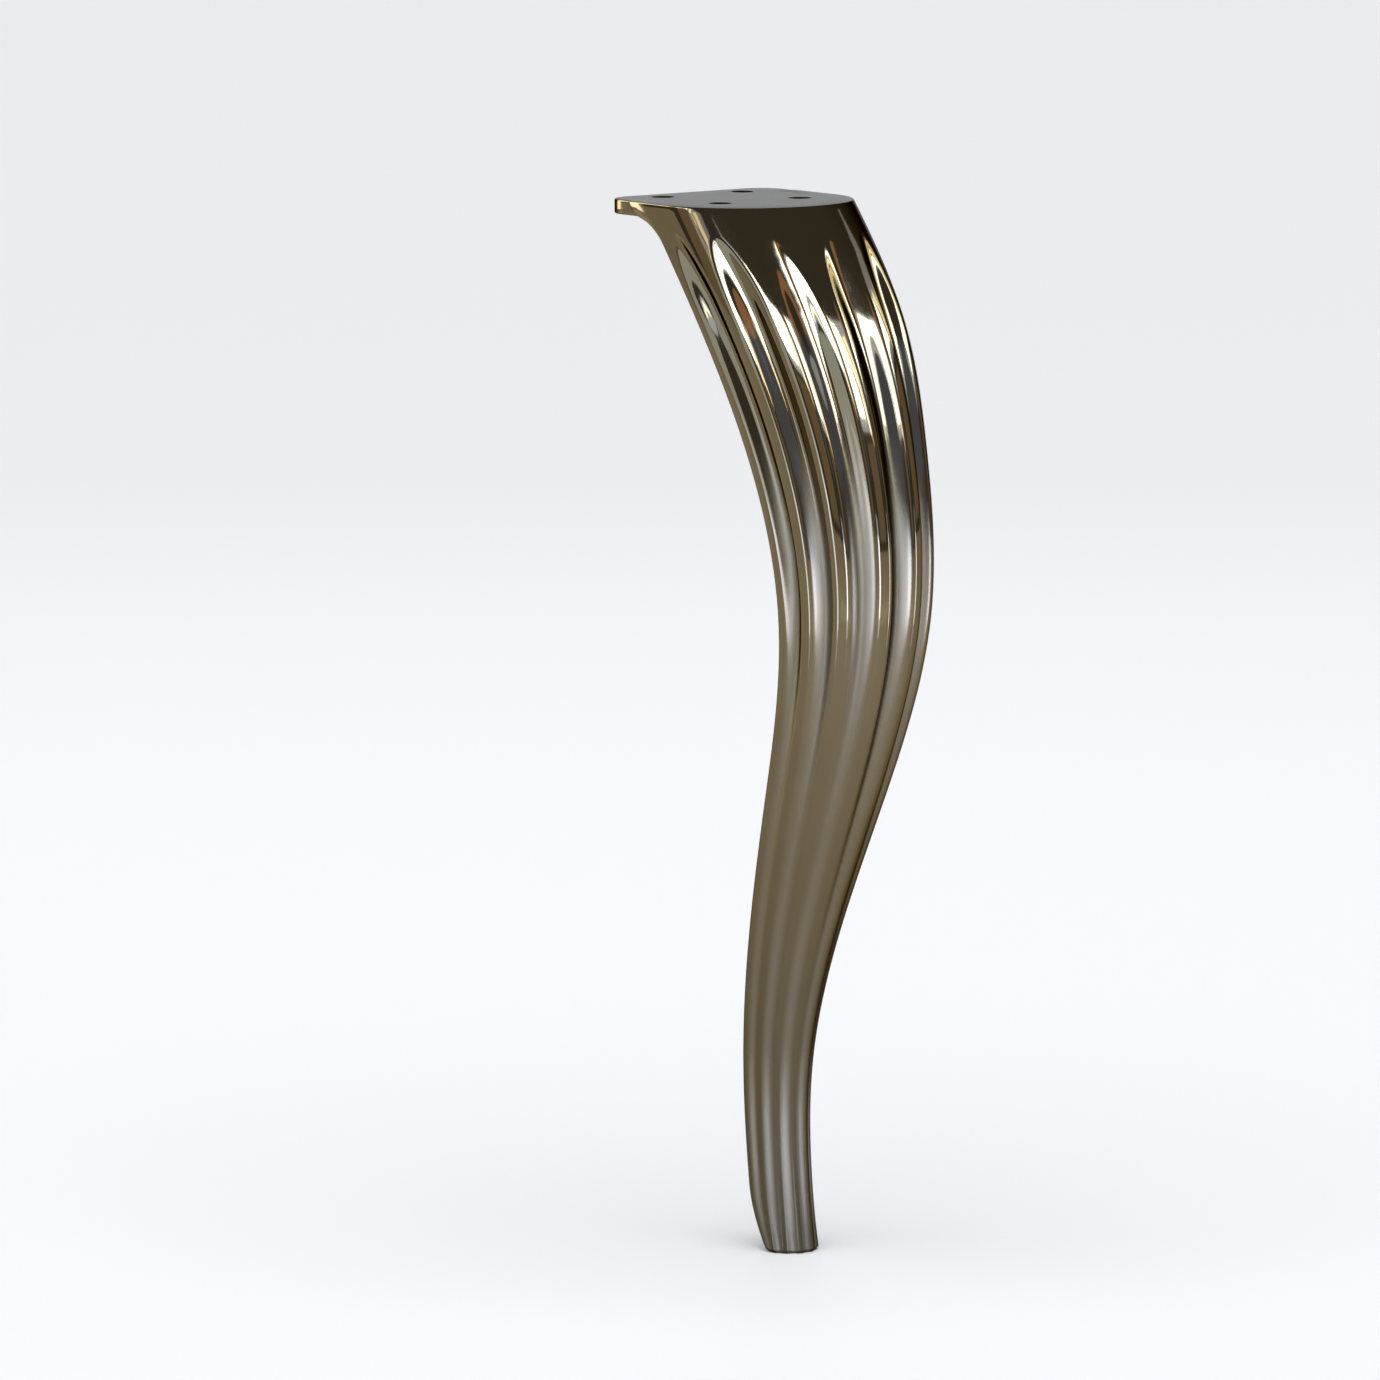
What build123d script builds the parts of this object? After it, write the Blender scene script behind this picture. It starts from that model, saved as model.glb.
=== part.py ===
from build123d import *
import os
from math import cos, pi, radians, sin, sqrt
from scipy.interpolate import CubicSpline

# A cast metal sofa leg: an open-backed, fluted S-curve that hangs from its own mounting plate.
# Millimetres, +Z up. The origin is the middle of the plate's top face, and the leg steps
# forward along -Y. A "drop" is a distance below that face, and a "reach" is how far the
# front line stands in front of the plate's front edge.

leg_height = 250.0

# Mounting plate and its four countersunk screw holes
plate_length = 48.0
plate_thickness = 3.5
plate_inset = 0.6
plate_corner_radius = 7.0
screw_spacing_x = 24.0
screw_spacing_y = 22.0
screw_edge_distance = 7.0
screw_hole_diameter = 5.5
screw_head_diameter = 10.0
top_trim = 2.0

# Stations of the S-curve: drop, reach, full width, and depth from the front to the widest line
collar_width = 50.5
collar_depth = 22.2
shoulder_drop = 24.0
shoulder_reach = 18.2
shoulder_width = 49.5
shoulder_depth = 22.5
haunch_drop = 55.0
haunch_reach = 31.0
haunch_width = 42.0
haunch_depth = 20.9
knee_drop = 95.0
knee_reach = 34.3
knee_width = 36.0
knee_depth = 16.7
calf_drop = 140.0
calf_reach = 19.8
calf_width = 27.8
calf_depth = 13.6
ankle_rise = 45.0
ankle_reach = -2.4
ankle_width = 15.0
ankle_depth = 9.2
sole_reach = -0.2
sole_width = 13.6
sole_depth = 8.2

# Flutes round the front, from rim to rim, with scooped upper ends under a plain collar
flute_count = 7
flute_pitch = radians(32)
flute_spread = 0.84
flute_ratio = 0.22
flute_top = 6.5
scoop_length = 16.0
scoop_start = 0.06
scoop_depth = 0.5
deepening_length = 45.0
section_gap = 6.0
angle_step = 1e-4

# Open back: walls, rims, the flare of the rims into the plate, and the end of the hollow
wall_thickness = 2.5
rim_land = 0.2
rim_radius = 1.0
flare_radius = 6.0
hollow_drop = 140.0
hollow_runout = 46.0

# Edges of the foot
sole_bevel = 0.8
heel_radius = 4.0

front_y = -plate_length / 2
ankle_drop = leg_height - ankle_rise
station_drops = [0, shoulder_drop, haunch_drop, knee_drop, calf_drop, ankle_drop, leg_height]


def fair_curve(*values):
    """Curve through one value for each station, bent as evenly as a thin batten."""
    return CubicSpline(station_drops, values, bc_type="natural")


reach_at = fair_curve(
    0, shoulder_reach, haunch_reach, knee_reach, calf_reach, ankle_reach, sole_reach
)
width_at = fair_curve(
    collar_width, shoulder_width, haunch_width, knee_width, calf_width, ankle_width, sole_width
)
depth_at = fair_curve(
    collar_depth, shoulder_depth, haunch_depth, knee_depth, calf_depth, ankle_depth, sole_depth
)


def widest_y(drop):
    """Y of the line where the section is widest and its sides turn straight back."""
    return front_y - float(reach_at(drop)) + float(depth_at(drop))


def flute_depth(drop):
    """Full depth of a flute, a fixed share of the local pitch."""
    mean_radius = (float(width_at(drop)) / 2 + float(depth_at(drop))) / 2
    return flute_ratio * flute_pitch * mean_radius


def scoop(drop):
    """Share of its full width that a flute has, rising as a round arch from its upper end."""
    rise = min(1, max(0, (drop - flute_top) / scoop_length))
    return max(scoop_start, sqrt(1 - (1 - rise) ** 2))


def deepening(drop):
    """Share of its full depth that a flute has: some in the scoop, the rest further down."""
    run = min(1, max(0, (drop - flute_top) / deepening_length))
    eased = 1 - (1 - run) ** 2
    return scoop(drop) ** 2 * (scoop_depth + (1 - scoop_depth) * eased)


def back_y(drop):
    """Y of the flat back, which flares towards the plate in a quarter round."""
    climb = min(flare_radius, max(0, plate_thickness + flare_radius - drop))
    flare = flare_radius - sqrt(flare_radius**2 - climb**2)
    last_ridge = flute_count * flute_pitch / 2 - pi / 2
    rim = rim_land + rim_radius
    return widest_y(drop) + float(depth_at(drop)) * last_ridge + rim + flare


def plain_point(angle, drop, inset):
    """Point of the unfluted outline: a half ellipse in front, straight sides behind."""
    half_width = float(width_at(drop)) / 2 - inset
    depth = float(depth_at(drop)) - inset
    turn = max(-pi / 2, min(pi / 2, angle))
    straight = depth * (abs(angle) - abs(turn))
    return Vector(half_width * sin(turn), widest_y(drop) - depth * cos(turn) + straight)


def fluted_point(angle, drop, inset):
    """Point of the fluted outline: the plain point sunk square to the surface."""
    ahead = plain_point(angle + angle_step, drop, inset)
    along = ahead - plain_point(angle - angle_step, drop, inset)
    inward = Vector(-along.Y, along.X).normalized()
    from_middle = 2 * abs(angle / flute_pitch - round(angle / flute_pitch))
    spread = flute_spread * scoop(drop)
    sink = 0.0
    if drop > flute_top and from_middle < spread:
        wave = (1 + cos(pi * from_middle / spread)) / 2
        sink = flute_depth(drop) * deepening(drop) * wave
    return plain_point(angle, drop, inset) + inward * sink


def fluted_curve(start, end, drop, inset):
    """One smooth stretch of the fluted outline, matched in direction at both ends."""
    third = (end - start) / 3

    def slope(angle):
        ahead = fluted_point(angle + angle_step, drop, inset)
        return (ahead - fluted_point(angle - angle_step, drop, inset)) / (2 * angle_step)

    first = fluted_point(start, drop, inset)
    last = fluted_point(end, drop, inset)
    return Bezier(first, first + slope(start) * third, last - slope(end) * third, last)


def section(drop, inset=0.0):
    """Closed face of the leg at one drop, without the hollow. Every flute keeps two edges."""
    half_flute = flute_spread * scoop(drop) * flute_pitch / 2
    side = float(width_at(drop)) / 2 - inset
    back = back_y(drop) - inset
    cuts = []
    for index in range(flute_count):
        middle = (index - (flute_count - 1) / 2) * flute_pitch
        cuts += [middle - half_flute, middle, middle + half_flute]
    edges = [fluted_curve(start, end, drop, inset) for start, end in zip(cuts, cuts[1:])]
    rim = rim_radius - inset
    for way in (1, -1):
        flute_end = fluted_point(way * cuts[-1], drop, inset)
        rim_start = Vector(way * side, back - rim)
        rim_end = Vector(way * (side - rim), back)
        edges.append(Line(flute_end, rim_start))
        edges.append(RadiusArc(rim_start, rim_end, -way * rim))
    edges.append(Line(Vector(side - rim, back), Vector(rim - side, back)))
    return Pos(0, 0, -drop) * Face(Wire(edges))


def hollow_front_y(drop):
    """Y of the front of the hollow, which sweeps out through the back at its lower end."""
    wall = flute_depth(drop) + wall_thickness
    front = front_y - float(reach_at(drop)) + wall
    run = max(0, (drop - hollow_drop) / hollow_runout)
    return front + (back_y(drop) + rim_radius - front) * run**2


def hollow_section(drop):
    """Closed face of the hollow at one drop, reaching out past the back."""
    half_width = float(width_at(drop)) / 2 - flute_depth(drop) - wall_thickness
    front = hollow_front_y(drop)
    round_depth = 2 * half_width * float(depth_at(drop)) / float(width_at(drop))
    side_y = front + round_depth
    right = [(half_width, side_y), (half_width, open_y)]
    left = [(-half_width, open_y), (-half_width, side_y)]
    with BuildSketch(Plane.XY.offset(-drop)) as sketch:
        with BuildLine():
            EllipticalCenterArc((0, side_y), half_width, round_depth, 180, arc_size=180)
            Polyline(*right, *left)
        make_face()
    return sketch.sketch


open_y = back_y(0) + plate_length
bevel_drop = leg_height - sole_bevel
# Sections lie close together where the flutes begin, and then three to each stretch
scoop_drops = [flute_top + scoop_length * share for share in (0, 0.06, 0.2, 0.42, 0.7, 1)]
run_drops = []
for upper, lower in zip(station_drops[1:], station_drops[2:]):
    thirds = [upper + (lower - upper) * share for share in (0, 1 / 3, 2 / 3)]
    run_drops += [drop for drop in thirds if drop > scoop_drops[-1] + section_gap]
run_drops.insert(0, (scoop_drops[-1] + run_drops[0]) / 2)
collar_drops = [-top_trim, 0.0, plate_thickness, (plate_thickness + flute_top) / 2]
body_drops = collar_drops + scoop_drops + run_drops + [bevel_drop]
hollow_drops = [-top_trim]
hollow_drops += [hollow_drop * share for share in (0, 0.12, 0.25, 0.4, 0.55, 0.7, 0.85, 1)]
hollow_drops += [hollow_drop + hollow_runout * share for share in (0.2, 0.4, 0.6, 0.8, 1)]

plate_half = collar_width / 2 - plate_inset
plate_back_y = front_y + plate_length
screw_middle_y = plate_back_y - screw_edge_distance - screw_spacing_y / 2
heel_y = back_y(leg_height)

with BuildPart() as leg:
    loft([section(drop) for drop in body_drops], clean=False)
    loft([section(bevel_drop), section(leg_height, sole_bevel)], ruled=True, clean=False)
    # The hollow is cut before the plate closes its top
    loft([hollow_section(drop) for drop in hollow_drops], clean=False, mode=Mode.SUBTRACT)
    # The heel is rounded by taking off the corner outside a quarter round
    with BuildSketch(Plane.YZ) as heel:
        with Locations((heel_y, -leg_height)):
            Rectangle(2 * heel_radius, 2 * heel_radius)
        with Locations((heel_y - heel_radius, heel_radius - leg_height)):
            Circle(heel_radius, mode=Mode.SUBTRACT)
            Rectangle(heel_radius, heel_radius, align=(Align.MAX, Align.CENTER), mode=Mode.SUBTRACT)
    extrude(amount=collar_width / 2, both=True, clean=False, mode=Mode.SUBTRACT)
    with BuildSketch(Plane.XY.offset(-plate_thickness)) as plate:
        with Locations((0, widest_y(0))):
            Ellipse(plate_half, collar_depth - plate_inset)
            Rectangle(2 * plate_half, plate_back_y - widest_y(0), align=(Align.CENTER, Align.MIN))
        fillet(plate.vertices().group_by(Axis.Y)[-1], plate_corner_radius)
    extrude(amount=plate_thickness + top_trim, clean=False)
    # The wall and the plate are trimmed to one flat mounting face
    split(bisect_by=Plane.XY, keep=Keep.BOTTOM)
    with Locations(Plane((0, screw_middle_y, -plate_thickness), x_dir=(1, 0, 0), z_dir=(0, 0, -1))):
        with GridLocations(screw_spacing_x, screw_spacing_y, 2, 2):
            CounterSinkHole(screw_hole_diameter / 2, screw_head_diameter / 2, plate_thickness)

os.makedirs("parts", exist_ok=True)
leg.part.label = "leg"
export_step(leg.part, "parts/leg.step")
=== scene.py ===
from math import cos, pi, radians, sin, tan

import bmesh
import bpy
import numpy as np
from mathutils import Matrix, Vector


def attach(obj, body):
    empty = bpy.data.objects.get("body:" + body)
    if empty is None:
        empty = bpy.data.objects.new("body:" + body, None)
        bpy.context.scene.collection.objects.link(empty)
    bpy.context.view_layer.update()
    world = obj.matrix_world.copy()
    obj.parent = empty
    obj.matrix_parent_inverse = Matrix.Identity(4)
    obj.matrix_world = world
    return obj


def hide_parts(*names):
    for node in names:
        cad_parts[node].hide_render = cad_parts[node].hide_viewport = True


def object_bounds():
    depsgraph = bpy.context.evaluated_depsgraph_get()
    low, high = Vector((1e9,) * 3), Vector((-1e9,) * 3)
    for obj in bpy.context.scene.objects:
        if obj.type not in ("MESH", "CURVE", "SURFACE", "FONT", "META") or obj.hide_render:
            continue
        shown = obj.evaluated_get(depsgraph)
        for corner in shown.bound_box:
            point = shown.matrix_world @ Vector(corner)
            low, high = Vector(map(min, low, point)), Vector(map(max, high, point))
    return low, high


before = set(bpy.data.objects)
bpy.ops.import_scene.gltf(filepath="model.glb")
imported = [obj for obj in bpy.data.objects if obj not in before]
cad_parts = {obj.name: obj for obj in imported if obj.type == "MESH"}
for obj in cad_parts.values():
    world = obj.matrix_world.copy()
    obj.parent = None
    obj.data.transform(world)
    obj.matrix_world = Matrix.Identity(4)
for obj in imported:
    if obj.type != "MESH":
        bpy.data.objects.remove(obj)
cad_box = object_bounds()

# The leg's plain wall: a thin-walled metal casting, open at the back, that steps forward
# from its plate and sweeps back to a slim foot. It is laid out here as closed level
# sections without flutes; sizes are in millimetres until the mesh is made.
mm = 0.001
leg_height = -cad_box[0].z / mm
plate_length = 48.0
plate_thickness = 3.5
front_y = -plate_length / 2
ankle_rise = 45.0
station_drop = np.array([0, 24, 55, 95, 140, leg_height - ankle_rise, leg_height])
station_reach = np.array([0, 18.2, 31, 34.3, 19.8, -2.4, -0.2])
station_width = np.array([50.5, 49.5, 42, 36, 27.8, 15, 13.6])
station_depth = np.array([22.2, 22.5, 20.9, 16.7, 13.6, 9.2, 8.2])

flute_count = 7
flute_pitch = radians(32)
flute_ratio = 0.22
flute_top = 6.5
scoop_length = 16.0

wall_thickness = 2.5
rim_land = 0.2
rim_radius = 1.0
inner_rim_radius = 0.8
flare_radius = 6.0
flare_bite = 0.15
hollow_drop = 140.0
hollow_runout = 46.0
hollow_blend = 0.7
top_edge_radius = 0.4
sole_bevel = 0.8
heel_height = 16.0
heel_depth = 5.0
heel_bias = 1.5

# How finely the height and the outline are divided
edge_points = 5
collar_levels = 7
scoop_step = 0.4
scoop_margin = 2.0
body_levels = 250
heel_levels = 20
points_per_flute = 28
rim_points = 6
side_points = 7
bowl_points = 37


def fair_line(values):
    """Line through one value for each station, bent as evenly as a thin batten."""
    gap = np.diff(station_drop)
    slope = np.diff(values) / gap
    count = len(station_drop)
    stiffness = np.eye(count)
    load = np.zeros(count)
    for i in range(1, count - 1):
        stiffness[i, i - 1:i + 2] = gap[i - 1], 2 * (gap[i - 1] + gap[i]), gap[i]
        load[i] = 6 * (slope[i] - slope[i - 1])
    bend = np.linalg.solve(stiffness, load)

    def at(drop):
        i = np.clip(np.searchsorted(station_drop, drop) - 1, 0, count - 2)
        past, left = drop - station_drop[i], station_drop[i + 1] - drop
        curve = (bend[i] * left**3 + bend[i + 1] * past**3) / (6 * gap[i])
        start = (values[i] / gap[i] - bend[i] * gap[i] / 6) * left
        end = (values[i + 1] / gap[i] - bend[i + 1] * gap[i] / 6) * past
        return curve + start + end

    return at


# Levels lie closest where the flutes begin and at the top edge
edge_turn = np.linspace(0, pi / 2, edge_points)
scoop_end = flute_top + scoop_length + scoop_margin
heel_top = leg_height - heel_height
level_drop = np.concatenate([
    top_edge_radius * (1 - np.cos(edge_turn)),
    np.linspace(top_edge_radius, flute_top, collar_levels)[1:],
    np.arange(flute_top, scoop_end, scoop_step)[1:],
    np.linspace(scoop_end, heel_top, body_levels)[1:],
    np.linspace(heel_top, leg_height - sole_bevel, heel_levels)[1:],
    [leg_height],
])
level_inset = np.zeros_like(level_drop)
level_inset[:edge_points] = top_edge_radius * (1 - np.sin(edge_turn))
level_inset[-1] = sole_bevel

drop = level_drop[:, None]
inset = level_inset[:, None]
front_line = front_y - fair_line(station_reach)(drop)
full_depth = fair_line(station_depth)(drop)
full_half = fair_line(station_width)(drop) / 2
widest_y = front_line + full_depth
flute_depth = flute_ratio * flute_pitch * (full_half + full_depth) / 2
half, depth = full_half - inset, full_depth - inset

# Outside, from rim to rim: a half ellipse in front and straight sides behind its ends
last_turn = flute_count * flute_pitch / 2
turn = np.linspace(-last_turn, last_turn, flute_count * points_per_flute + 1)
bent = np.clip(turn, -pi / 2, pi / 2)
outer_x = half * np.sin(bent)
outer_y = widest_y - depth * np.cos(bent) + full_depth * (np.abs(turn) - np.abs(bent))
inward_x, inward_y = -depth * np.sin(bent), half * np.cos(bent)
inward_size = np.hypot(inward_x, inward_y)

# Rims: a flat back between two rounded edges, flaring into the plate at the top
climb = np.clip(plate_thickness - flare_bite + flare_radius - drop, 0, flare_radius)
flare = flare_radius - np.sqrt(flare_radius**2 - climb**2)
rim_back = widest_y + full_depth * (last_turn - pi / 2) + rim_land + rim_radius + flare
back = rim_back - inset
rim_turn = np.linspace(0, pi / 2, rim_points)
rim_round = rim_radius - inset
rim_x = half - rim_round * (1 - np.cos(rim_turn))
rim_y = back - rim_round * (1 - np.sin(rim_turn))

# Hollow: straight sides and a half-elliptical front, sweeping out through the back
hollow_wall = flute_depth + wall_thickness
hollow_half = full_half - hollow_wall
hollow_round = hollow_half * full_depth / full_half
hollow_front = front_line + hollow_wall
run = np.clip((drop - hollow_drop) / hollow_runout, 0, None)
hollow_front = hollow_front + (rim_back + rim_radius - hollow_front) * run**2
side_depth = back - hollow_front - hollow_round
edge_depth = inner_rim_radius * np.clip(side_depth / inner_rim_radius, 0, 1)
edge_x = hollow_half + inner_rim_radius * (1 - np.sin(edge_turn))
edge_y = back - edge_depth * (1 - np.cos(edge_turn))
side_share = np.linspace(0, 1, side_points)[1:-1]
side_y = back - edge_depth - (np.maximum(side_depth, edge_depth) - edge_depth) * side_share
side_x = np.broadcast_to(hollow_half, side_y.shape)
bowl_turn = np.linspace(pi / 2, -pi / 2, bowl_points)
bowl_x = hollow_half * np.sin(bowl_turn)
bowl_depth = side_depth + hollow_round * np.cos(bowl_turn)
bowl_depth = (bowl_depth + np.sqrt(bowl_depth**2 + hollow_blend**2)) / 2
bowl_y = back - bowl_depth

right_x = np.hstack([rim_x, edge_x, side_x])
right_y = np.hstack([rim_y, edge_y, side_y])
loop_x = np.hstack([outer_x, right_x, bowl_x, -right_x[:, ::-1]])
loop_y = np.hstack([outer_y, right_y, bowl_y, right_y[:, ::-1]])

# Heel: the lowest stretch of the back sweeps forward, and the front line stays
heel_run = np.clip(drop - heel_top, 0, heel_height) / heel_height
heel_share = np.clip((loop_y - front_line) / (rim_back - front_line), 0, 1)
loop_y = loop_y - heel_depth * heel_run**2 * heel_share**heel_bias

level_count, loop_count = loop_x.shape
loop_drop = np.broadcast_to(drop, loop_x.shape)
points = np.stack([loop_x, loop_y, -loop_drop], axis=2).reshape(-1, 3) * mm
ring = np.arange(loop_count)
after = np.roll(ring, -1)
faces = []
for level in range(level_count - 1):
    upper, lower = level * loop_count, (level + 1) * loop_count
    faces += np.stack([upper + ring, upper + after, lower + after, lower + ring], axis=1).tolist()
faces += [ring[::-1].tolist(), ((level_count - 1) * loop_count + ring).tolist()]

wall_mesh = bpy.data.meshes.new("plain wall")
wall_mesh.from_pydata(points.tolist(), [], faces)


def mark_points(name, kind, field, values):
    """Stores one value for each point of the plain wall."""
    attribute = wall_mesh.attributes.new(name, kind, "POINT")
    attribute.data.foreach_set(field, np.ascontiguousarray(values, dtype=np.float32).ravel())


outer_count = len(turn)
on_front = np.zeros(loop_x.shape)
on_front[:, :outer_count] = 1
turn_round = np.zeros(loop_x.shape)
turn_round[:, :outer_count] = turn
inward = np.zeros((level_count, loop_count, 3))
inward[:, :outer_count, 0] = inward_x / inward_size
inward[:, :outer_count, 1] = inward_y / inward_size
mark_points("on front", "FLOAT", "value", on_front)
mark_points("turn", "FLOAT", "value", turn_round)
mark_points("drop", "FLOAT", "value", loop_drop * mm)
mark_points("full depth", "FLOAT", "value", np.broadcast_to(flute_depth * mm, loop_x.shape))
mark_points("inward", "FLOAT_VECTOR", "vector", inward)

leg = bpy.data.objects.new("fluted_leg", wall_mesh)
bpy.context.collection.objects.link(leg)

# The flutes: seven scooped grooves round the front, cast with the wall. Each starts as a
# round arch under the plain collar, runs to the sole and narrows with the leg, and broad
# rounded ridges are left between them.


class Link:
    """A socket in a node tree. Arithmetic on it adds Math nodes, and make adds any other."""

    def __init__(self, tree, socket=None):
        self.tree = tree
        self.socket = socket

    def make(self, kind, settings=None, inputs=None, output=0):
        node = self.tree.nodes.new(kind)
        for name, value in (settings or {}).items():
            setattr(node, name, value)
        for name, value in (inputs or {}).items():
            if isinstance(value, Link):
                self.tree.links.new(value.socket, node.inputs[name])
            else:
                node.inputs[name].default_value = value
        return Link(self.tree, node.outputs[output] if len(node.outputs) else None)

    def maths(self, operation, *values):
        return self.make("ShaderNodeMath", {"operation": operation}, dict(enumerate(values)))

    def clamped(self):
        return self.make("ShaderNodeClamp", None, {"Value": self})

    def __add__(self, other):
        return self.maths("ADD", self, other)

    def __sub__(self, other):
        return self.maths("SUBTRACT", self, other)

    def __rsub__(self, other):
        return self.maths("SUBTRACT", other, self)

    def __mul__(self, other):
        return self.maths("MULTIPLY", self, other)

    def __truediv__(self, other):
        return self.maths("DIVIDE", self, other)

    def __pow__(self, other):
        return self.maths("POWER", self, other)

    __radd__ = __add__
    __rmul__ = __mul__


# The fading makes the flutes shallower down the leg, and the outermost ones sooner. The haze
# is stored for the finish, where it sets both the grooves' roughness and their painted pale
# reflection: it starts above the knee and is thinner at the calf and the sole.
flute_sizes = {
    "Flute Pitch": flute_pitch,
    "Flute Spread": 0.84,
    "Least Spread": 1e-4,
    "Flute Top": flute_top * mm,
    "Scoop Length": scoop_length * mm,
    "Scoop Depth": 0.5,
    "Deepening": 45 * mm,
    "Fading Top": 90 * mm,
    "Fading Length": 90 * mm,
    "Fading": 0.62,
    "Side Place": flute_count / 2 - 1,
    "Side Top": 80 * mm,
    "Side Length": 50 * mm,
    "Side Fading": 0.8,
    "Haze Top": 50 * mm,
    "Haze Length": 26 * mm,
    "Calf Top": 112 * mm,
    "Calf Length": 35 * mm,
    "Calf Polish": 0.6,
    "Foot Top": 200 * mm,
    "Foot Length": 18 * mm,
    "Sole Top": 230 * mm,
    "Sole Length": 16 * mm,
}
flute_tree = bpy.data.node_groups.new("scooped flutes", "GeometryNodeTree")
flute_tree.interface.new_socket("Geometry", in_out="OUTPUT", socket_type="NodeSocketGeometry")


def add_input(name, kind):
    """Adds a named input to the tree and gives the key that sets it on a modifier."""
    return flute_tree.interface.new_socket(name, in_out="INPUT", socket_type=kind).identifier


add_input("Geometry", "NodeSocketGeometry")
size_key = {name: add_input(name, "NodeSocketFloat") for name in flute_sizes}
finish_key = add_input("Finish", "NodeSocketMaterial")

flutes = Link(flute_tree)
group_in = flute_tree.nodes.new("NodeGroupInput")
given = {socket.name: Link(flute_tree, socket) for socket in group_in.outputs if socket.name}


def on_point(name, kind="FLOAT"):
    """Reads a value stored on the plain wall's points."""
    return flutes.make("GeometryNodeInputNamedAttribute", {"data_type": kind}, {"Name": name})


def way_down(top, length):
    """How far down a stretch of the leg a point lies: 0 above it and 1 below it."""
    return ((on_point("drop") - given[top]) / given[length]).clamped()


arch = flutes.maths("SQRT", 1 - (1 - way_down("Flute Top", "Scoop Length")) ** 2.0)
place = on_point("turn") / given["Flute Pitch"]
from_middle = 2 * flutes.maths("ABSOLUTE", place - flutes.maths("ROUND", place))
share = (from_middle / (given["Flute Spread"] * arch + given["Least Spread"])).clamped()
wave = (1 + flutes.maths("COSINE", share * pi)) / 2
deepened = 1 - (1 - way_down("Flute Top", "Deepening")) ** 2.0
depth_share = arch ** 2.0 * (given["Scoop Depth"] + (1 - given["Scoop Depth"]) * deepened)
depth_share = depth_share * (1 - given["Fading"] * way_down("Fading Top", "Fading Length"))
on_side = flutes.maths("GREATER_THAN", flutes.maths("ABSOLUTE", place), given["Side Place"])
side_fading = given["Side Fading"] * way_down("Side Top", "Side Length") * on_side
sink = on_point("full depth") * on_point("on front") * (depth_share * (1 - side_fading)) * wave
polished = way_down("Calf Top", "Calf Length") - way_down("Foot Top", "Foot Length")
polished = polished + way_down("Sole Top", "Sole Length")
# This mask gives the grooves their haze and also their painted pale reflection in the finish
haze_and_sheen = way_down("Haze Top", "Haze Length") * (1 - given["Calf Polish"] * polished)
offset = flutes.make(
    "ShaderNodeVectorMath", {"operation": "SCALE"},
    {0: on_point("inward", "FLOAT_VECTOR"), "Scale": sink},
)
carved = flutes.make("GeometryNodeSetPosition", None, {"Geometry": given["Geometry"], "Offset": offset})
carved = flutes.make(
    "GeometryNodeStoreNamedAttribute", {"data_type": "FLOAT", "domain": "POINT"},
    {"Geometry": carved, "Name": "groove", "Value": wave * haze_and_sheen * on_point("on front")},
)
carved = flutes.make("GeometryNodeRealizeInstances", None, {"Geometry": carved})
carved = flutes.make(
    "GeometryNodeSetMaterial", None, {"Geometry": carved, "Material": given["Finish"]},
)
group_out = flute_tree.nodes.new("NodeGroupOutput")
flute_tree.links.new(carved.socket, group_out.inputs["Geometry"])

# The finish: smoked mirror plating over polished metal, a warm grey-brown, a little uneven over
# the cast skin, with painted shade darkening it towards the foot. The grooves are hazy and painted
# paler as a painted reflection, more so at the foot; the sole is satin, and the top face, which is
# hidden in use, is left bare and dull.
smoke_dark, smoke_pale = (0.152, 0.115, 0.064, 1), (0.18, 0.138, 0.078, 1)
# Painted shade: the ridges darken towards this colour at the foot, standing in for the shaded floor the
# foot reflects
painted_shade_foot = (0.09, 0.071, 0.041, 1)
# Painted reflection: the grooves take these paler colours, much paler at the foot, standing in for the
# pale light they reflect
painted_sheen_knee, painted_sheen_foot = (0.178, 0.146, 0.096, 1), (0.25, 0.215, 0.165, 1)
bare_metal = (0.12, 0.11, 0.096, 1)
edge_tint = (0.18, 0.18, 0.19, 1)
# Where the painted shade darkens the ridges and the painted pale reflection grows in the grooves, down
# the leg
darkening_top, darkening_length = 100 * mm, 120 * mm
satin_top, satin_length = 224 * mm, 14 * mm
bare_drop, bare_blend = 0.12 * mm, 0.1 * mm
mirror_roughness, cloud_roughness, streak_roughness = 0.035, 0.03, 0.03
haze_roughness, satin_roughness, bare_roughness = 0.46, 0.2, 0.45
cloud_grain = {"Scale": 60.0, "Detail": 3.0}
streak_grain = {"Scale": 900.0, "Detail": 2.0}
ripple_grain = {"Scale": 160.0, "Detail": 1.0}
streak_squash = (1.0, 1.0, 0.12)
ripple_strength, ripple_height = 0.05, 0.6 * mm

plating = bpy.data.materials.new("smoked plating")
plating.use_nodes = True
plating.node_tree.nodes.clear()
paint = Link(plating.node_tree)


def blend(amount, start, end):
    """Colour that runs from start to end as the amount goes from 0 to 1."""
    start_colour, end_colour, mixed_colour = 6, 7, 2
    colours = {"Factor": amount, start_colour: start, end_colour: end}
    return paint.make("ShaderNodeMix", {"data_type": "RGBA"}, colours, mixed_colour)


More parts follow.
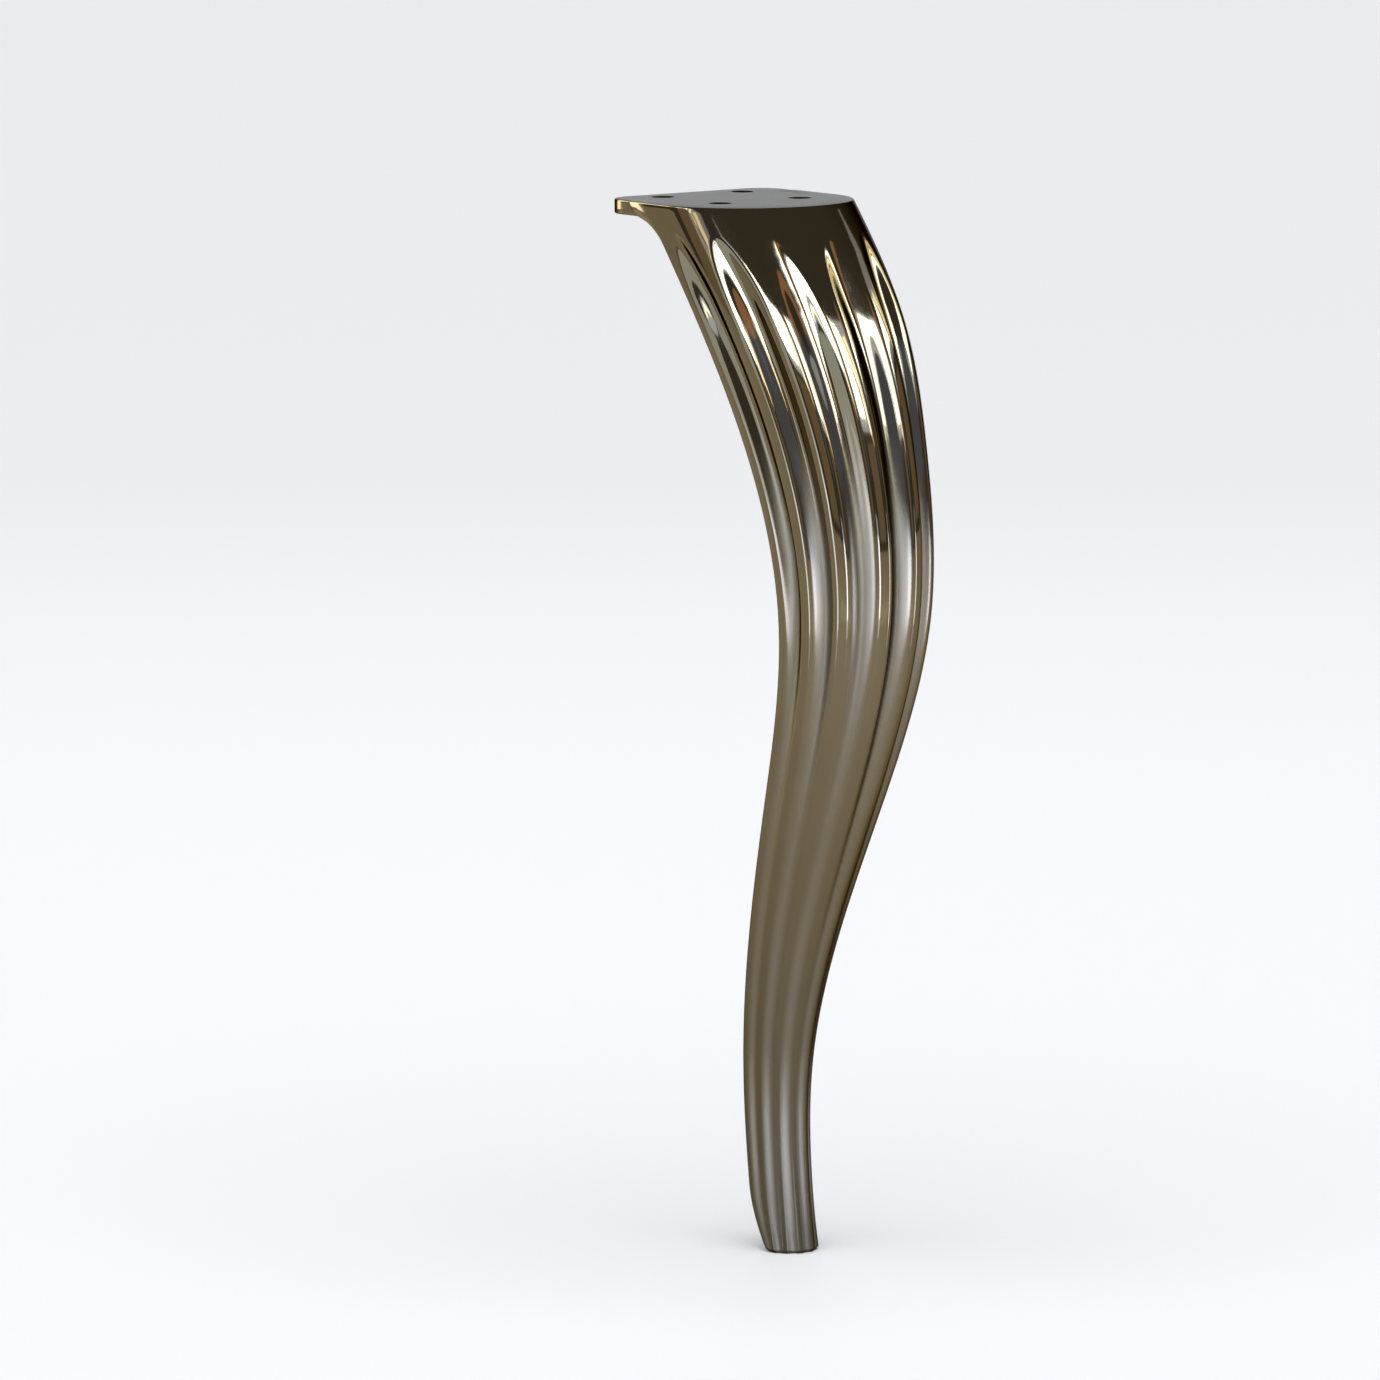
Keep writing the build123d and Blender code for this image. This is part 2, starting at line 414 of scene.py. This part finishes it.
here = paint.make("ShaderNodeTexCoord", output="Object")
along = paint.make("ShaderNodeMapping", None, {"Vector": here, "Scale": streak_squash})
cloud = paint.make("ShaderNodeTexNoise", None, {"Vector": here, **cloud_grain})
streak = paint.make("ShaderNodeTexNoise", None, {"Vector": along, **streak_grain})
ripple = paint.make("ShaderNodeTexNoise", None, {"Vector": here, **ripple_grain})
groove = paint.make("ShaderNodeAttribute", {"attribute_name": "groove"}, output="Fac")
height = paint.make("ShaderNodeSeparateXYZ", None, {"Vector": here}, output="Z")
towards_foot = ((-darkening_top - height) / darkening_length).clamped()
at_sole = ((-satin_top - height) / satin_length).clamped()
on_top = ((height + bare_drop) / bare_blend).clamped()
# Ridges: random tone from the cloud, blending into painted shade towards the foot
ridge_tint = blend(towards_foot, blend(cloud, smoke_dark, smoke_pale), painted_shade_foot)
# Grooves: plating tone made paler by a painted reflection that grows towards the foot
groove_tint_and_sheen = blend(towards_foot, painted_sheen_knee, painted_sheen_foot)
tint = blend(on_top, blend(groove, ridge_tint, groove_tint_and_sheen), bare_metal)
polish = mirror_roughness + cloud * cloud_roughness + streak * streak_roughness
polish = polish + groove * haze_roughness + at_sole * satin_roughness + on_top * bare_roughness
bump = paint.make("ShaderNodeBump", None, {
    "Strength": ripple_strength, "Distance": ripple_height, "Height": ripple,
})
shader = paint.make("ShaderNodeBsdfPrincipled", None, {
    "Base Color": tint, "Metallic": 1 - on_top, "Roughness": polish, "Normal": bump,
    "Specular Tint": edge_tint,
})
paint.make("ShaderNodeOutputMaterial", None, {"Surface": shader})

flute_modifier = leg.modifiers.new("flutes", "NODES")
flute_modifier.node_group = flute_tree
for name, size in flute_sizes.items():
    flute_modifier[size_key[name]] = size
flute_modifier[finish_key] = plating


def settle(piece):
    """Turns a piece with live modifiers into a plain mesh."""
    bpy.context.view_layer.update()
    seen = piece.evaluated_get(bpy.context.evaluated_depsgraph_get())
    made = bpy.data.meshes.new_from_object(seen)
    piece.modifiers.clear()
    piece.data = made


settle(leg)
merge_distance, sliver_size = 0.002 * mm, 0.001 * mm
shape = bmesh.new()
shape.from_mesh(leg.data)
bmesh.ops.remove_doubles(shape, verts=shape.verts, dist=merge_distance)
bmesh.ops.dissolve_degenerate(shape, edges=shape.edges, dist=sliver_size)
bmesh.ops.recalc_face_normals(shape, faces=shape.faces)
shape.to_mesh(leg.data)
shape.free()

# The mounting plate: the flat top of the same casting, rounded at its rear corners, with
# four screw holes countersunk from below. It lies a hair below the wall's top edge, so that
# the two join cleanly.
plate_inset = 0.6
plate_corner = 7.0
plate_step = 0.01
front_points, corner_points, hole_points = 65, 13, 64
screw_spacing_x, screw_spacing_y, screw_edge = 24.0, 22.0, 7.0
screw_radius, head_radius = 2.75, 5.0
head_depth = 2.59
cutter_flare, cutter_below, cutter_above = 0.35, 0.4, 1.0
sharp_angle = radians(32)
collar_half, collar_depth = station_width[0] / 2 - plate_inset, station_depth[0] - plate_inset
plate_y = front_y + plate_length
middle_y = front_y + station_depth[0]


def closed_stack(name, rings):
    """Closed mesh through a stack of rings with the same number of points, in millimetres."""
    count = len(rings[0])
    corners = [tuple(value * mm for value in point) for one in rings for point in one]
    sides = []
    for level in range(len(rings) - 1):
        for i in range(count):
            j = (i + 1) % count
            lower, upper = level * count, (level + 1) * count
            sides.append((lower + i, lower + j, upper + j, upper + i))
    caps = [list(range(count))[::-1], list(range((len(rings) - 1) * count, len(corners)))]
    mesh = bpy.data.meshes.new(name)
    mesh.from_pydata(corners, [], sides + caps)
    mesh.materials.append(plating)
    piece = bpy.data.objects.new(name, mesh)
    bpy.context.collection.objects.link(piece)
    return piece


def plate_ring(inset, z):
    """Outline of the plate at one height: round in front, with two rounded rear corners."""
    ring = []
    for turn in np.linspace(0, pi, front_points):
        x = -(collar_half - inset) * cos(turn)
        y = middle_y - (collar_depth - inset) * sin(turn)
        ring.append((x, y, z))
    corner = plate_corner - inset
    for way, start in ((1, 0), (-1, pi / 2)):
        for turn in np.linspace(start, start + pi / 2, corner_points):
            x = way * (collar_half - plate_corner) + corner * cos(turn)
            y = plate_y - plate_corner + corner * sin(turn)
            ring.append((x, y, z))
    return ring


edge_in = top_edge_radius * (1 - np.sin(edge_turn))
edge_up = top_edge_radius * (1 - np.cos(edge_turn))
plate_rings = [plate_ring(inset, rise - plate_thickness) for inset, rise in zip(edge_in, edge_up)]
plate_rings += [
    plate_ring(inset, -plate_step - rise) for inset, rise in zip(edge_in[::-1], edge_up[::-1])
]
plate = closed_stack("plate", plate_rings)

hole_profile = [
    (head_radius + cutter_flare, -plate_thickness - cutter_below),
    (head_radius, -plate_thickness),
    (screw_radius, head_depth - plate_thickness),
    (screw_radius, cutter_above),
]
hole_turns = np.linspace(0, 2 * pi, hole_points + 1)[:-1]
cutters = []
screw_middle = plate_y - screw_edge - screw_spacing_y / 2
for x in (-screw_spacing_x / 2, screw_spacing_x / 2):
    for y in (screw_middle - screw_spacing_y / 2, screw_middle + screw_spacing_y / 2):
        rings = []
        for radius, z in hole_profile:
            rings.append([(x + radius * cos(turn), y + radius * sin(turn), z) for turn in hole_turns])
        cutters.append(closed_stack("screw hole", rings))

for tool, way in [(plate, "UNION")] + [(cutter, "DIFFERENCE") for cutter in cutters]:
    combine = leg.modifiers.new(tool.name, "BOOLEAN")
    combine.object = tool
    combine.operation = way
    combine.solver = "MANIFOLD"
    settle(leg)
    bpy.data.objects.remove(tool)
leg.data.shade_smooth()
leg.data.set_sharp_from_angle(angle=sharp_angle)

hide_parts("leg")
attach(leg, "root")

# The stage: a pale floor at the sole, soft lamps round the leg, and the camera low and to
# the leg's left, as in the photograph.
floor_size = 30.0
floor_colour = (0.86, 0.86, 0.87, 1)
floor_roughness = 0.6
bpy.ops.mesh.primitive_plane_add(size=floor_size, location=(0, 0, -leg_height * mm))
floor = bpy.context.object
floor.name = "floor"
floor_paint = bpy.data.materials.new("pale floor")
floor_paint.use_nodes = True
floor_shader = floor_paint.node_tree.nodes["Principled BSDF"]
floor_shader.inputs["Base Color"].default_value = floor_colour
floor_shader.inputs["Roughness"].default_value = floor_roughness
floor.data.materials.append(floor_paint)

studio_colour = (0.16, 0.163, 0.168, 1)
world = bpy.data.worlds.new("studio")
world.use_nodes = True
world.node_tree.nodes["Background"].inputs["Color"].default_value = studio_colour
bpy.context.scene.world = world
bpy.context.scene.view_settings.view_transform = "Standard"

overhead_tilt = (radians(14), radians(-10), 0)
day = bpy.data.lights.new("overhead", "SUN")
day.energy = 3.05
day.angle = radians(75)
overhead = bpy.data.objects.new("overhead", day)
overhead.rotation_euler = overhead_tilt
overhead.visible_glossy = False
bpy.context.collection.objects.link(overhead)

lamp_centre = Vector((0, -0.05, -0.09))


def soft_lamp(name, azimuths, elevations, distance, glow, colour):
    """Rectangular lamp that fills a range of directions round the leg and shows in its gloss."""
    turn, lift = radians(sum(azimuths) / 2), radians(sum(elevations) / 2)
    lamp = bpy.data.lights.new(name, "AREA")
    lamp.shape = "RECTANGLE"
    lamp.size = 2 * distance * cos(lift) * tan(radians(azimuths[1] - azimuths[0]) / 2)
    lamp.size_y = 2 * distance * tan(radians(elevations[1] - elevations[0]) / 2)
    lamp.energy = glow * pi * lamp.size * lamp.size_y
    lamp.color = colour
    holder = bpy.data.objects.new(name, lamp)
    outwards = Vector((sin(turn) * cos(lift), -cos(turn) * cos(lift), sin(lift)))
    holder.location = lamp_centre + outwards * distance
    holder.rotation_euler = outwards.to_track_quat("Z", "Y").to_euler()
    holder.visible_camera = False
    holder.visible_diffuse = False
    bpy.context.collection.objects.link(holder)


cool_white, near_white = (0.85, 0.92, 1.0), (0.95, 0.97, 1.0)
window_blue, pale_blue, halo_blue = (0.66, 0.82, 1.0), (0.75, 0.88, 1.0), (0.46, 0.6, 1.0)
grey_blue, navy, floor_blue = (0.6, 0.76, 1.0), (0.3, 0.46, 1.0), (0.45, 0.58, 1.0)
cream, straw, brown, orange = (0.95, 0.92, 0.7), (1.0, 0.87, 0.5), (1.0, 0.8, 0.55), (1.0, 0.58, 0.36)
far, strip_distance, longer_distance, foot_distance = 1.5, 0.35, 0.36, 0.4
longer_share = 0.3

# Tall windows: the azimuth of the middle, the elevation of the top, and the power
windows = ((-120, 34, 0.45), (-58, 43, 1.0), (4, 50, 0.95), (71, 35, 0.6))
# Parts of a window: span round its middle, lower edge, cut below its top, glow and colour
window_parts = (
    ("pane", (-15, 8), 26, 0, 26.0, window_blue),
    ("cool slat", (-20, -18), 25, 4, 9.0, pale_blue),
    ("slat", (10, 13), 22, 2, 11.0, cream),
    ("warm slat", (15, 19), 20, 5, 7.0, straw),
    ("halo", (-23, 23), 23, -1, 3.8, halo_blue),
)

# All lamps: name, azimuths and elevations in degrees, distance in metres, glow and colour
lamps = [("rear pane", (-166, -146), (-4, 36), far, 8.0, cool_white)]
for middle, top, power in windows:
    for part, (left, right), low, cut, glow, colour in window_parts:
        azimuths, elevations = (middle + left, middle + right), (low, top - cut)
        lamps.append((part, azimuths, elevations, far, glow * power, colour))
for orange_span, blue_span in (((-35, -19), (-37, -17)), ((30, 46), (28, 48))):
    lamps.append(("orange card", orange_span, (41, 50), far, 1.0, orange))
    lamps.append(("blue card", blue_span, (14, 41), far, 0.5, navy))
lamps.append(("grey card", (-110, -74), (0, 22), far, 2.1, grey_blue))
lamps.append(("high pane", (-23, -10), (45, 50), far, 14.0, window_blue))
lamps.append(("back card", (118, 166), (5, 28), far, 1.3, cool_white))
for span in ((-126, -110), (-62, -46), (0, 16), (63, 79)):
    lamps.append(("brown card", span, (2, 21), far, 0.45, brown))
for span, glow in (((-30, -13), 10.0), ((42, 50), 10.0), ((-92, -76), 6.0)):
    longer_glow = glow * longer_share
    lamps.append(("low strip", span, (-19, 4), strip_distance, glow, floor_blue))
    lamps.append(("longer low strip", span, (-25, 9), longer_distance, longer_glow, floor_blue))
lamps.append(("foot card", (-58, 26), (-22.5, -15.5), foot_distance, 0.33, near_white))
for lamp in lamps:
    soft_lamp(*lamp)

photo_size = 1380
pixels_per_mm = 4.23
view_azimuth, view_elevation = radians(-38), radians(8)
origin_pixel = (747.0, 199.0)
view_distance = 2.2
towards = Vector((
    sin(view_azimuth) * cos(view_elevation),
    -cos(view_azimuth) * cos(view_elevation),
    sin(view_elevation),
))
right = Vector((cos(view_azimuth), sin(view_azimuth), 0))
up = towards.cross(right)
across = right * (photo_size / 2 - origin_pixel[0])
down = up * (photo_size / 2 - origin_pixel[1])
target = (across - down) * (mm / pixels_per_mm)
camera_data = bpy.data.cameras.new("camera")
camera_data.sensor_width = 36
camera_data.lens = camera_data.sensor_width * view_distance / (photo_size / pixels_per_mm * mm)
camera_data.clip_start = 0.05
camera_data.clip_end = 60
camera = bpy.data.objects.new("camera", camera_data)
facing = Matrix((right, up, towards)).transposed().to_4x4()
camera.matrix_world = Matrix.Translation(target + towards * view_distance) @ facing
bpy.context.collection.objects.link(camera)
bpy.context.scene.camera = camera
